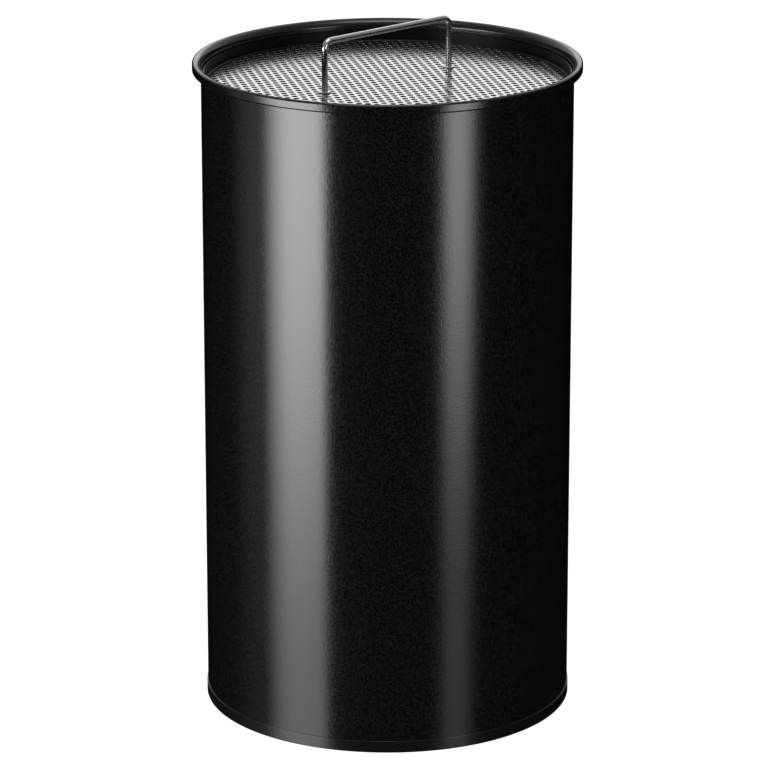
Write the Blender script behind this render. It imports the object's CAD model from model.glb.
import math

import bmesh
import bpy
from mathutils import Matrix, Vector


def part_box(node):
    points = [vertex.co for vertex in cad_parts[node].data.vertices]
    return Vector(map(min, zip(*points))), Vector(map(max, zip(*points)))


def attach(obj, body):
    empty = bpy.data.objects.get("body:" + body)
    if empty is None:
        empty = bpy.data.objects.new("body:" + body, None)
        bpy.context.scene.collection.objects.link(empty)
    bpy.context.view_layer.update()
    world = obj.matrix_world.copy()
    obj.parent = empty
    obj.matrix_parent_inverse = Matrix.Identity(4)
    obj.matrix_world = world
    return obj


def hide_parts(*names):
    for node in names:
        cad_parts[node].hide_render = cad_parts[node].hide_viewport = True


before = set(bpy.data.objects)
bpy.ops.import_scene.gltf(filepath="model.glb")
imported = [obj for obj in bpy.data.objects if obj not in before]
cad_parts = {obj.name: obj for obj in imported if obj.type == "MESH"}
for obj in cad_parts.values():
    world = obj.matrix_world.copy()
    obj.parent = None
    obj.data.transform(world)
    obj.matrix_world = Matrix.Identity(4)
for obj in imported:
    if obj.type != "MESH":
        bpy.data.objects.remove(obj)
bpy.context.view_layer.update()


# ---------------------------------------------------------------------------------------------------
# Body shell
# One 1.2 mm steel sheet, rolled into a cylinder and welded down the back. Its upper edge is flared and
# then curled outwards into a hollow round rim, and the whole is powder-coated in a satin black.
# ---------------------------------------------------------------------------------------------------

class Value:
    """A number that varies over a surface. Arithmetic on it adds Math nodes to its finish."""

    def __init__(self, finish, socket):
        self.finish = finish
        self.socket = socket

    def __add__(self, other):
        return self.finish.maths("ADD", self, other)

    def __radd__(self, other):
        return self.finish.maths("ADD", other, self)

    def __rsub__(self, other):
        return self.finish.maths("SUBTRACT", other, self)

    def __mul__(self, other):
        return self.finish.maths("MULTIPLY", self, other)

    def __rmul__(self, other):
        return self.finish.maths("MULTIPLY", other, self)


class Finish:
    """The nodes of a material, a light or the sky while they are put together."""

    def __init__(self, owner):
        owner.use_nodes = True
        self.owner = owner
        self.tree = owner.node_tree
        self.tree.nodes.clear()

    def add(self, kind, settings=None, inputs=None, output=0):
        """Add a node: its settings first, then the values or links of its sockets."""
        node = self.tree.nodes.new(kind)
        for name, setting in (settings or {}).items():
            setattr(node, name, setting)
        for name, source in (inputs or {}).items():
            if isinstance(source, Value):
                self.tree.links.new(source.socket, node.inputs[name])
            else:
                node.inputs[name].default_value = source
        return Value(self, node.outputs[output])

    def maths(self, operation, *operands):
        return self.add("ShaderNodeMath", {"operation": operation}, dict(enumerate(operands)))

    def noise(self, scale, detail=2.0, stretch=(1, 1, 1), offset=0.0):
        """Noise from 0 to 1 in a piece's own frame: scale cells to the metre, times stretch."""
        place = self.add("ShaderNodeTexCoord", output="Object")
        vector = self.add("ShaderNodeMapping", None, {
            "Vector": place, "Scale": stretch, "Location": (offset, offset, offset)})
        return self.add("ShaderNodeTexNoise", None, {
            "Vector": vector, "Scale": scale, "Detail": detail, "Roughness": 0.55}, "Fac")

    def band(self, source, low, high):
        """0 below low, 1 above high, and smooth between."""
        return self.add("ShaderNodeMapRange", {"interpolation_type": "SMOOTHSTEP"}, {
            "Value": source, "From Min": low, "From Max": high})

    def blend(self, factor, first, second):
        """A colour that goes from first to second as factor goes from 0 to 1."""
        a, b = [grey if isinstance(grey, Value) else (grey, grey, grey, 1) for grey in (first, second)]
        return self.add("ShaderNodeMix", {"data_type": "RGBA"}, {0: factor, 6: a, 7: b}, 2)

    def bump(self, height, distance):
        """Relief of this many metres where height goes from 0 to 1."""
        return self.add("ShaderNodeBump", None, {"Height": height, "Distance": distance, "Strength": 1.0})

    def close(self, kind="ShaderNodeBsdfPrincipled", end="ShaderNodeOutputMaterial", **sockets):
        """Finish with a shader that has these sockets."""
        shader = self.add(kind, None, {name.replace("_", " "): source for name, source in sockets.items()})
        output = self.tree.nodes.new(end)
        self.tree.links.new(shader.socket, output.inputs["Surface"])
        return self.owner


def cut_section(corners):
    """A flat face on the XZ plane through corners of (radius, height, bend), each bend an arc."""
    section = bmesh.new()
    points = [section.verts.new((radius, 0, height)) for radius, height, bend in corners]
    section.faces.new(points)
    for point, (radius, height, bend) in zip(points, corners):
        if bend:
            ahead, back = [edge.other_vert(point).co - point.co for edge in point.link_edges]
            reach = bend / math.tan(ahead.angle(back) / 2)
            bmesh.ops.bevel(section, geom=[point], offset=reach, offset_type="OFFSET",
                            affect="VERTICES", segments=ARC_SEGMENTS, profile=0.5, material=-1)
    return section


def revolve(section, steps=192):
    """Turn a section all the way round Z into a closed skin."""
    bmesh.ops.delete(section, geom=section.faces[:], context="FACES_ONLY")
    on_axis = [edge for edge in section.edges if all(abs(vert.co.x) < TINY for vert in edge.verts)]
    bmesh.ops.delete(section, geom=on_axis, context="EDGES")
    bmesh.ops.spin(section, geom=section.verts[:] + section.edges[:], cent=(0, 0, 0), axis=(0, 0, 1),
                   angle=math.tau, steps=steps, use_merge=True)
    bmesh.ops.remove_doubles(section, verts=section.verts[:], dist=TINY)
    return section


def make_piece(name, mesh, material):
    """Turn a finished bmesh into an object, smooth across every angle under the crease angle."""
    bmesh.ops.recalc_face_normals(mesh, faces=mesh.faces[:])
    for face in mesh.faces:
        face.smooth = True
    for edge in mesh.edges:
        edge.smooth = edge.calc_face_angle(math.pi) < CREASE_ANGLE
    data = bpy.data.meshes.new(name)
    mesh.to_mesh(data)
    mesh.free()
    data.materials.append(material)
    piece = bpy.data.objects.new(name, data)
    bpy.context.scene.collection.objects.link(piece)
    weighting = piece.modifiers.new("Weighted normals", "WEIGHTED_NORMAL")
    weighting.keep_sharp = True
    return piece


def satin_powder():
    """Satin black powder coat: fine grain over orange peel, uneven gloss and a few pale specks of dust."""
    finish = Finish(bpy.data.materials.new("satin_black_powder"))
    peel = finish.noise(420, 2)
    grain = finish.band(finish.noise(620, 2, offset=3.1), 0.4, 0.66)
    cloud = finish.noise(9, 3, offset=7.7)
    speck = finish.band(finish.noise(640, 1, offset=5.3), 0.74, 0.8)
    relief = finish.bump(peel * 0.6 + grain * 0.4, 0.00005)
    coat = finish.blend(grain, finish.blend(cloud, 0.0008, 0.0016), 0.0078)
    return finish.close(
        Base_Color=finish.blend(speck, coat, 0.016),
        Roughness=0.125 + cloud * 0.04 + grain * 0.035 + speck * 0.12,
        Specular_IOR_Level=0.9,
        Normal=relief)


TINY = 1e-6
ARC_SEGMENTS = 6
CREASE_ANGLE = math.radians(38)

powder = satin_powder()
shell_low, shell_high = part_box("body_shell")
crest = shell_high.z
rim_radius = shell_high.x
shell_foot = shell_low.z
shell_gauge = 0.0012
wall_radius = 0.1815
wall_inside = wall_radius - shell_gauge
flare_bend = 0.0072
crest_bend = 0.0022
under_bend = 0.0018
roll_depth = 0.0095
roll_underside = crest - roll_depth
roll_end = 0.1826

shell = make_piece("shell", revolve(cut_section([
    (wall_inside, shell_foot, 0),
    (wall_inside, crest, flare_bend),
    (rim_radius, crest, crest_bend),
    (rim_radius, roll_underside, under_bend),
    (roll_end, roll_underside, 0),
    (roll_end, roll_underside + shell_gauge, 0),
    (rim_radius - shell_gauge, roll_underside + shell_gauge, under_bend - shell_gauge),
    (rim_radius - shell_gauge, crest - shell_gauge, crest_bend - shell_gauge),
    (wall_radius, crest - shell_gauge, flare_bend - shell_gauge),
    (wall_radius, shell_foot, 0),
])), powder)
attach(shell, "bin")
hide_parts("body_shell")


# ---------------------------------------------------------------------------------------------------
# Shell seam
# The butt weld that closes the cylinder at the back: a low bead, ground nearly flush and coated over
# with the shell. It runs from the edge ring up to the underside of the rolled rim.
# ---------------------------------------------------------------------------------------------------

seam_width = 0.0045
seam_height = 0.00035
seam_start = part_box("foot_ring")[1].z
seam_stop_below_flare = 0.001
seam_end = crest - flare_bend - seam_stop_below_flare
seam_mesh = bmesh.new()
bmesh.ops.create_circle(seam_mesh, cap_ends=True, segments=20, radius=1)
bmesh.ops.scale(seam_mesh, vec=(seam_width / 2, seam_height, 1), verts=seam_mesh.verts[:])
bmesh.ops.translate(seam_mesh, vec=(0, wall_radius, seam_start), verts=seam_mesh.verts[:])
raised = bmesh.ops.extrude_face_region(seam_mesh, geom=seam_mesh.faces[:])["geom"]
bmesh.ops.translate(seam_mesh, vec=(0, 0, seam_end - seam_start),
                    verts=[item for item in raised if isinstance(item, bmesh.types.BMVert)])
seam = make_piece("shell_seam", seam_mesh, powder)
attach(seam, "bin")


# ---------------------------------------------------------------------------------------------------
# Edge ring
# A shiny black plastic channel pushed over the lower edge of the shell, so that the bin doesn't scratch
# the floor. It is cut from a length of profile, and its two ends meet at the back with a hairline gap.
# ---------------------------------------------------------------------------------------------------

def moulded_black():
    """Shiny black extruded plastic with a fine grain and slight scuffing."""
    finish = Finish(bpy.data.materials.new("black_edge_plastic"))
    grain = finish.noise(2600, 1)
    scuff = finish.band(finish.noise(60, 4, (1, 1, 9), 2.2), 0.62, 0.85)
    return finish.close(
        Base_Color=finish.blend(scuff, 0.0045, 0.009),
        Roughness=0.17 + grain * 0.05 + scuff * 0.08,
        Specular_IOR_Level=0.95,
        Normal=finish.bump(grain, 0.00001))


ring_low, ring_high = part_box("foot_ring")
ring_radius = ring_high.x
ring_lip = ring_radius - wall_radius
ring_inside = wall_inside - ring_lip
ring_joint = 0.0006
ring_edge_bend = 0.00035
ring_foot_bend = 0.0007
ring_section = cut_section([
    (ring_radius, ring_low.z, ring_foot_bend),
    (ring_radius, ring_high.z, ring_edge_bend),
    (wall_radius, ring_high.z, 0),
    (wall_radius, shell_foot, 0),
    (wall_inside, shell_foot, 0),
    (wall_inside, ring_high.z, 0),
    (ring_inside, ring_high.z, ring_edge_bend),
    (ring_inside, ring_low.z, ring_foot_bend),
])
joint_angle = ring_joint / ring_radius
bmesh.ops.rotate(ring_section, cent=(0, 0, 0), verts=ring_section.verts[:],
                 matrix=Matrix.Rotation(math.pi / 2 + joint_angle / 2, 3, "Z"))
bmesh.ops.spin(ring_section, geom=ring_section.verts[:] + ring_section.edges[:] + ring_section.faces[:],
               cent=(0, 0, 0), axis=(0, 0, 1), angle=math.tau - joint_angle, steps=192)
edge_ring = make_piece("edge_ring", ring_section, moulded_black())
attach(edge_ring, "bin")
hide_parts("foot_ring")


# ---------------------------------------------------------------------------------------------------
# Base plate
# A pressed steel disc with a flange turned down all round, spot-welded into the shell above the edge
# ring and coated with it. It closes the bin against the floor.
# ---------------------------------------------------------------------------------------------------

base_low, base_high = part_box("base_plate")
base_gauge = 0.0015
base_bend = 0.002
base_plate = make_piece("floor_pan", revolve(cut_section([
    (0, base_high.z, 0),
    (wall_inside, base_high.z, base_bend + base_gauge),
    (wall_inside, base_low.z, 0),
    (wall_inside - base_gauge, base_low.z, 0),
    (wall_inside - base_gauge, base_high.z - base_gauge, base_bend),
    (0, base_high.z - base_gauge, 0),
])), powder)
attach(base_plate, "bin")
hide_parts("base_plate")


# ---------------------------------------------------------------------------------------------------
# Tray lugs
# Four bent steel angles, rolled to the curve of the wall, each held to it by two spot welds. Their
# shelves carry the ledge of the sand tray, and they are coated with the shell.
# ---------------------------------------------------------------------------------------------------

lug_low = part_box("tray_bracket_1")[0].z
lug_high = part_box("tray_bracket_1")[1].z
lug_gauge = 0.002
lug_bend = 0.002
lug_reach = 0.0118
lug_sweep = math.radians(8)
lug_count = 4
weld_radius = 0.0025
weld_height = 0.0003
weld_rise = 0.009
for number in range(lug_count):
    lug_mesh = cut_section([
        (wall_inside, lug_low, 0),
        (wall_inside, lug_high, lug_bend + lug_gauge),
        (wall_inside - lug_reach, lug_high, 0),
        (wall_inside - lug_reach, lug_high - lug_gauge, 0),
        (wall_inside - lug_gauge, lug_high - lug_gauge, lug_bend),
        (wall_inside - lug_gauge, lug_low, 0),
    ])
    bmesh.ops.rotate(lug_mesh, cent=(0, 0, 0), verts=lug_mesh.verts[:],
                     matrix=Matrix.Rotation(-lug_sweep / 2, 3, "Z"))
    bmesh.ops.spin(lug_mesh, geom=lug_mesh.verts[:] + lug_mesh.edges[:] + lug_mesh.faces[:],
                   cent=(0, 0, 0), axis=(0, 0, 1), angle=lug_sweep, steps=8)
    for side in (-1, 1):
        weld = bmesh.ops.create_uvsphere(lug_mesh, u_segments=16, v_segments=8, radius=weld_radius)["verts"]
        bmesh.ops.scale(lug_mesh, vec=(weld_height / weld_radius, 1, 1), verts=weld)
        bmesh.ops.translate(lug_mesh, vec=(wall_inside - lug_gauge, 0, lug_low + weld_rise), verts=weld)
        bmesh.ops.rotate(lug_mesh, cent=(0, 0, 0), verts=weld,
                         matrix=Matrix.Rotation(side * lug_sweep / 4, 3, "Z"))
    angle = math.tau * (number + 0.5) / lug_count
    bmesh.ops.rotate(lug_mesh, cent=(0, 0, 0), verts=lug_mesh.verts[:],
                     matrix=Matrix.Rotation(angle, 3, "Z"))
    lug = make_piece(f"tray_lug_{number + 1}", lug_mesh, powder)
    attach(lug, "bin")
    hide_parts(f"tray_bracket_{number + 1}")


# ---------------------------------------------------------------------------------------------------
# Sand tray
# A spun steel bowl for the sand, stepped out near its top into a flat ledge and a short upright wall.
# It hangs on the lugs with a little play, lifts straight out, and is coated in a duller black.
# ---------------------------------------------------------------------------------------------------

def dull_powder():
    """Matt black powder coat, rubbed a little by sand and dusted with ash."""
    finish = Finish(bpy.data.materials.new("dull_black_powder"))
    grain = finish.noise(1100, 2)
    dust = finish.band(finish.noise(34, 5, offset=4.4), 0.52, 0.8)
    return finish.close(
        Base_Color=finish.blend(dust, 0.0025, 0.0055),
        Roughness=0.3 + grain * 0.08 + dust * 0.1,
        Specular_IOR_Level=0.3,
        Normal=finish.bump(grain, 0.00004))


tray_low, tray_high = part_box("sand_tray")
sieve_low, sieve_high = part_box("sieve_disc")
tray_radius = tray_high.x
tray_gauge = 0.0012
ledge_top = sieve_low.z
ledge_width = 0.013
ledge_wall_bend = 0.0018
ledge_bowl_bend = 0.0015
bowl_floor_bend = 0.012
bowl_radius = tray_radius - tray_gauge - ledge_width
tray_floor = tray_low.z + tray_gauge
tray = make_piece("tray", revolve(cut_section([
    (tray_radius, tray_high.z, 0),
    (tray_radius, ledge_top - tray_gauge, ledge_wall_bend + tray_gauge),
    (bowl_radius + tray_gauge, ledge_top - tray_gauge, ledge_bowl_bend),
    (bowl_radius + tray_gauge, tray_low.z, bowl_floor_bend + tray_gauge),
    (0, tray_low.z, 0),
    (0, tray_floor, 0),
    (bowl_radius, tray_floor, bowl_floor_bend),
    (bowl_radius, ledge_top, ledge_bowl_bend + tray_gauge),
    (tray_radius - tray_gauge, ledge_top, ledge_wall_bend),
    (tray_radius - tray_gauge, tray_high.z, 0),
])), dull_powder())
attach(tray, "tray")
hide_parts("sand_tray")


# ---------------------------------------------------------------------------------------------------
# Sieve
# A disc cut from stock perforated steel sheet, 6 mm holes at 9 mm pitch in staggered rows, so the cut
# runs through the holes at its edge. The punched side is up, and its hole edges are drawn in a little.
# ---------------------------------------------------------------------------------------------------

def rolled_steel():
    """Bright rolled steel: fine streaks along X, uneven gloss, and a faint haze of handling marks."""
    finish = Finish(bpy.data.materials.new("bright_rolled_steel"))
    streak = finish.noise(60, 3, (1, 22, 22))
    haze = finish.noise(26, 4, offset=6.1)
    mark = finish.band(finish.noise(150, 3, (1, 3, 1), 9.2), 0.62, 0.75)
    return finish.close(
        Base_Color=finish.blend(haze, 0.47, 0.58),
        Metallic=1.0,
        Roughness=0.1 + streak * 0.08 + haze * 0.07 + mark * 0.08,
        Normal=finish.bump(streak, 0.000012))


def repeat(mesh, geometry, offsets):
    """Copy some of a mesh to each offset."""
    for offset in offsets:
        copied = bmesh.ops.duplicate(mesh, geom=geometry)["geom"]
        bmesh.ops.translate(mesh, vec=offset,
                            verts=[item for item in copied if isinstance(item, bmesh.types.BMVert)])


def everything(mesh):
    return mesh.verts[:] + mesh.edges[:] + mesh.faces[:]


hole_pitch = 0.009
hole_radius = 0.003
row_spacing = hole_pitch * math.sin(math.radians(60))
punched_edge = 0.00025
disc_radius = sieve_high.x
sieve_mesh = bmesh.new()
bmesh.ops.create_circle(sieve_mesh, segments=6, radius=hole_pitch / math.sqrt(3))
bmesh.ops.subdivide_edges(sieve_mesh, edges=sieve_mesh.edges[:], cuts=1)
bmesh.ops.create_circle(sieve_mesh, segments=12, radius=hole_radius)
bmesh.ops.bridge_loops(sieve_mesh, edges=sieve_mesh.edges[:])
reach = disc_radius + hole_pitch
columns = math.ceil(reach / hole_pitch)
rows = math.ceil(reach / row_spacing)
repeat(sieve_mesh, everything(sieve_mesh),
       [(column * hole_pitch, 0, 0) for column in range(-columns, columns + 1) if column])
repeat(sieve_mesh, everything(sieve_mesh),
       [(row % 2 * hole_pitch / 2, row * row_spacing, 0) for row in range(-rows, rows + 1) if row])
outside = [face for face in sieve_mesh.faces if face.calc_center_median().length > reach]
bmesh.ops.delete(sieve_mesh, geom=outside, context="FACES")
bmesh.ops.remove_doubles(sieve_mesh, verts=sieve_mesh.verts[:], dist=1e-5)
cut_facets = 120
for facet in range(cut_facets):
    turn = math.tau * facet / cut_facets
    outwards = Vector((math.cos(turn), math.sin(turn), 0))
    bmesh.ops.bisect_plane(sieve_mesh, geom=everything(sieve_mesh), dist=TINY, clear_outer=True,
                           plane_co=outwards * disc_radius * math.cos(math.pi / cut_facets),
                           plane_no=outwards)
bmesh.ops.translate(sieve_mesh, vec=(0, 0, sieve_low.z), verts=sieve_mesh.verts[:])
raised = bmesh.ops.extrude_face_region(sieve_mesh, geom=sieve_mesh.faces[:])["geom"]
bmesh.ops.translate(sieve_mesh, vec=(0, 0, sieve_high.z - sieve_low.z),
                    verts=[item for item in raised if isinstance(item, bmesh.types.BMVert)])
bmesh.ops.recalc_face_normals(sieve_mesh, faces=sieve_mesh.faces[:])
punched_edges = [edge for edge in sieve_mesh.edges
                 if edge.calc_face_angle(0) > math.radians(60)
                 and all(vert.co.z > sieve_high.z - TINY for vert in edge.verts)]
bmesh.ops.bevel(sieve_mesh, geom=punched_edges, offset=punched_edge, offset_type="OFFSET",
                affect="EDGES", segments=2, profile=0.5, material=-1)
sieve = make_piece("sieve", sieve_mesh, rolled_steel())
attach(sieve, "sieve")
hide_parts("sieve_disc")


# ---------------------------------------------------------------------------------------------------
# Handle
# A 6 mm wire with a bright chromed skin, bent square at both corners. Each end is turned down to a
# shoulder and threaded M5, and goes through a hole of the sieve into a nut.
# ---------------------------------------------------------------------------------------------------

def bright_chrome():
    """Chromed wire: a near mirror with faint drawing lines under the plating."""
    finish = Finish(bpy.data.materials.new("bright_chrome"))
    lines = finish.noise(500, 2, (1, 4, 1))
    smear = finish.noise(70, 3, offset=1.9)
    return finish.close(
        Base_Color=finish.blend(smear, 0.86, 0.94),
        Metallic=1.0,
        Roughness=0.07 + smear * 0.08,
        Normal=finish.bump(lines, 0.000004))


handle_low, handle_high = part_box("sieve_handle")
wire_radius = handle_high.y
leg = handle_high.x - wire_radius
bar_height = handle_high.z - wire_radius
bend_radius = 0.008
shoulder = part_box("handle_washers_upper")[1].z
spigot_radius = 0.0025
root_radius = 0.0021
thread_pitch = 0.0008


def draw_out(mesh, ring, offset, scale=1.0):
    """Extend a tube from its last ring of edges by an offset, and scale the new ring about its middle."""
    made = bmesh.ops.extrude_edge_only(mesh, edges=ring)["geom"]
    verts = [item for item in made if isinstance(item, bmesh.types.BMVert)]
    bmesh.ops.translate(mesh, vec=offset, verts=verts)
    middle = sum((vert.co for vert in verts), Vector()) / len(verts)
    bmesh.ops.scale(mesh, vec=(scale, scale, scale), verts=verts, space=Matrix.Translation(-middle))
    return [item for item in made if isinstance(item, bmesh.types.BMEdge)
            and all(vert in verts for vert in item.verts)]


def bend(mesh, ring, centre):
    """Carry a tube a quarter turn about an axis along Y."""
    made = bmesh.ops.spin(mesh, geom=ring, cent=centre, axis=(0, 1, 0), angle=math.pi / 2, steps=10)
    return [item for item in made["geom_last"] if isinstance(item, bmesh.types.BMEdge)]


def thread(mesh, ring, turns):
    """A threaded end below a shoulder, closed by a chamfered point."""
    ring = draw_out(mesh, ring, (0, 0, 0), root_radius / wire_radius)
    for turn in range(turns):
        ring = draw_out(mesh, ring, (0, 0, -thread_pitch / 2), spigot_radius / root_radius)
        ring = draw_out(mesh, ring, (0, 0, -thread_pitch / 2), root_radius / spigot_radius)
    bmesh.ops.contextual_create(mesh, geom=ring)


handle_mesh = bmesh.new()
bmesh.ops.create_circle(handle_mesh, segments=24, radius=wire_radius,
                        matrix=Matrix.Translation((-leg, 0, shoulder)))
foot_ring_edges = handle_mesh.edges[:]
ring = draw_out(handle_mesh, foot_ring_edges, (0, 0, bar_height - bend_radius - shoulder))
ring = bend(handle_mesh, ring, (-leg + bend_radius, 0, bar_height - bend_radius))
ring = draw_out(handle_mesh, ring, (2 * (leg - bend_radius), 0, 0))
ring = bend(handle_mesh, ring, (leg - bend_radius, 0, bar_height - bend_radius))
ring = draw_out(handle_mesh, ring, (0, 0, shoulder - bar_height + bend_radius))
thread_turns = round((shoulder - handle_low.z) / thread_pitch)
thread(handle_mesh, ring, thread_turns)
thread(handle_mesh, foot_ring_edges, thread_turns)
handle = make_piece("handle", handle_mesh, bright_chrome())
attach(handle, "sieve")
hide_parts("sieve_handle")


# ---------------------------------------------------------------------------------------------------
# Washers and nuts
# Under each leg of the handle a zinc-plated washer lies on the sieve, and beneath the sieve a second
# washer and an M5 nut draw the leg tight. The nuts have the usual chamfered corners.
# ---------------------------------------------------------------------------------------------------

def zinc():
    """Bright zinc plating, a little cloudy."""
    finish = Finish(bpy.data.materials.new("zinc_plating"))
    cloud = finish.noise(300, 3)
    return finish.close(
        Base_Color=finish.blend(cloud, 0.5, 0.66),
        Metallic=1.0,
        Roughness=0.22 + cloud * 0.14,
        Normal=finish.bump(cloud, 0.00001))


def turned_ring(outer, bore, low, high, edge):
    """A flat ring about Z with its edges eased."""
    return revolve(cut_section([
        (bore, low, edge), (outer, low, edge), (outer, high, edge), (bore, high, edge)]), steps=32)


def on_both_legs(mesh):
    """Put one of a pair at each leg of the handle."""
    bmesh.ops.translate(mesh, vec=(-leg, 0, 0), verts=mesh.verts[:])
    repeat(mesh, everything(mesh), [(2 * leg, 0, 0)])
    return mesh


zinc_plating = zinc()
washer_radius = 0.006
washer_bore = 0.00265
washer_edge = 0.0002
for node, name in (("handle_washers_upper", "leg_washers"), ("handle_washers_lower", "under_washers")):
    low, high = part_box(node)
    washers = make_piece(name, on_both_legs(turned_ring(
        washer_radius, washer_bore, low.z, high.z, washer_edge)), zinc_plating)
    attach(washers, "sieve")
    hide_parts(node)

nut_low, nut_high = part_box("handle_nuts")
nut_corner = nut_high.y
nut_bore = 0.00255
nut_chamfer = 0.0004
nut_mesh = turned_ring(nut_corner, nut_bore, nut_low.z, nut_high.z, nut_chamfer)
for side in range(6):
    turn = math.tau * side / 6
    outwards = Vector((math.cos(turn), math.sin(turn), 0))
    cut = bmesh.ops.bisect_plane(nut_mesh, geom=everything(nut_mesh), dist=TINY, clear_outer=True,
                                 plane_co=outwards * nut_corner * math.cos(math.radians(30)),
                                 plane_no=outwards)
    rim = [item for item in cut["geom_cut"] if isinstance(item, bmesh.types.BMEdge)]
    bmesh.ops.contextual_create(nut_mesh, geom=rim)
nuts = make_piece("under_nuts", on_both_legs(nut_mesh), zinc_plating)
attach(nuts, "sieve")
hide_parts("handle_nuts")


# ---------------------------------------------------------------------------------------------------
# Studio
# A plain white floor in front of a pale backdrop. Two tall softboxes stand before the bin, with a weak
# reflector beside the left one, a softbox hangs above and a panel stands behind. None is part of the bin.
# ---------------------------------------------------------------------------------------------------

def white_floor():
    """Plain white floor with a soft glow of its own, so that it stays pale all over."""
    finish = Finish(bpy.data.materials.new("white_floor"))
    grain = finish.noise(3, 2)
    return finish.close(
        Base_Color=finish.blend(grain, 0.48, 0.5),
        Roughness=0.9,
        Emission_Color=(1, 1, 1, 1),
        Emission_Strength=0.95)


floor_reach = 12
floor_mesh = bmesh.new()
bmesh.ops.create_grid(floor_mesh, x_segments=2, y_segments=2, size=floor_reach)
floor = make_piece("floor", floor_mesh, white_floor())
floor.visible_glossy = False
floor.visible_shadow = False

CAMERA_AZIMUTH = -42


def around(azimuth, distance, height):
    """A point round the bin. Azimuth is from the camera, to its right."""
    turn = math.radians(CAMERA_AZIMUTH + azimuth)
    return Vector((math.sin(turn) * distance, -math.cos(turn) * distance, height))


def softbox(name, azimuth, distance, height, size, radiance, left, right, fade=(0, 1), bottom=1.0, tilt=90):
    """A soft panel that faces the bin. Its brightness falls off at its left and right edges, as parts of
    its width, and towards its lower edge, to a part of the whole."""
    light = bpy.data.lights.new(name, "AREA")
    light.shape = "RECTANGLE"
    light.size, light.size_y = size
    light.energy = radiance * math.pi * size[0] * size[1]
    finish = Finish(light)
    across, up = [finish.add("ShaderNodeSeparateXYZ", None, {
        "Vector": finish.add("ShaderNodeNewGeometry", output="Parametric")}, output)
        for output in ("X", "Y")]
    edges = finish.band(across, 0, left) * finish.band(1 - across, 0, right)
    level = bottom + finish.band(up, *fade) * (1 - bottom)
    finish.close("ShaderNodeEmission", "ShaderNodeOutputLight", Strength=edges * level)
    panel = bpy.data.objects.new(name, light)
    panel.location = around(azimuth, distance, height)
    panel.rotation_euler = (math.radians(tilt), 0, math.radians(CAMERA_AZIMUTH + azimuth))
    panel.visible_camera = False
    bpy.context.scene.collection.objects.link(panel)


softbox("left_softbox", -59.5, 2.5, -0.3, (2.2, 2.8), radiance=5.7,
        left=0.5, right=0.1, fade=(0.3, 0.6), bottom=0.25)
softbox("left_reflector", -97, 2.5, -0.3, (1.3, 2.8), radiance=0.3,
        left=1.0, right=0.05, fade=(0.3, 0.6), bottom=0.25)
softbox("right_softbox", 43, 2.5, -0.3, (1.22, 2.8), radiance=3.05,
        left=0.36, right=0.46, fade=(0.38, 0.62), bottom=0.13)
softbox("top_softbox", 0, 0.25, 2.15, (1.6, 1.1), radiance=1.7, left=0.4, right=0.4, tilt=0)
softbox("back_panel", 180, 4.0, 0.8, (2.4, 3.4), radiance=1.0,
        left=0.3, right=0.3, fade=(0.58, 0.7), bottom=0.0)

sky = Finish(bpy.data.worlds.new("studio_backdrop"))
look = sky.add("ShaderNodeTexCoord", output="Generated")
rise = sky.add("ShaderNodeSeparateXYZ", None, {"Vector": look}, "Z")
behind = sky.add("ShaderNodeVectorMath", {"operation": "DOT_PRODUCT"}, {
    0: look, 1: around(180, 1, 0)}, "Value")
backdrop = sky.band(rise, 0.12, 0.21) * (0.22 + 0.5 * sky.band(behind, 0.1, 1.0))
seen = sky.add("ShaderNodeLightPath", output="Is Camera Ray")
sky.close("ShaderNodeBackground", "ShaderNodeOutputWorld", Strength=sky.maths("MAXIMUM", backdrop, seen))
bpy.context.scene.world = sky.owner
bpy.context.scene.view_settings.view_transform = "Standard"

camera_distance = 4.23
camera_height = 1.626
camera_pitch = 17.2
lens = bpy.data.cameras.new("camera")
lens.sensor_width = 36
lens.lens = 207.1
lens.clip_start = 0.1
lens.clip_end = 60
camera = bpy.data.objects.new("camera", lens)
camera.location = around(0, camera_distance, camera_height)
camera.rotation_euler = (math.radians(90 - camera_pitch), 0, math.radians(CAMERA_AZIMUTH))
bpy.context.scene.collection.objects.link(camera)
bpy.context.scene.camera = camera
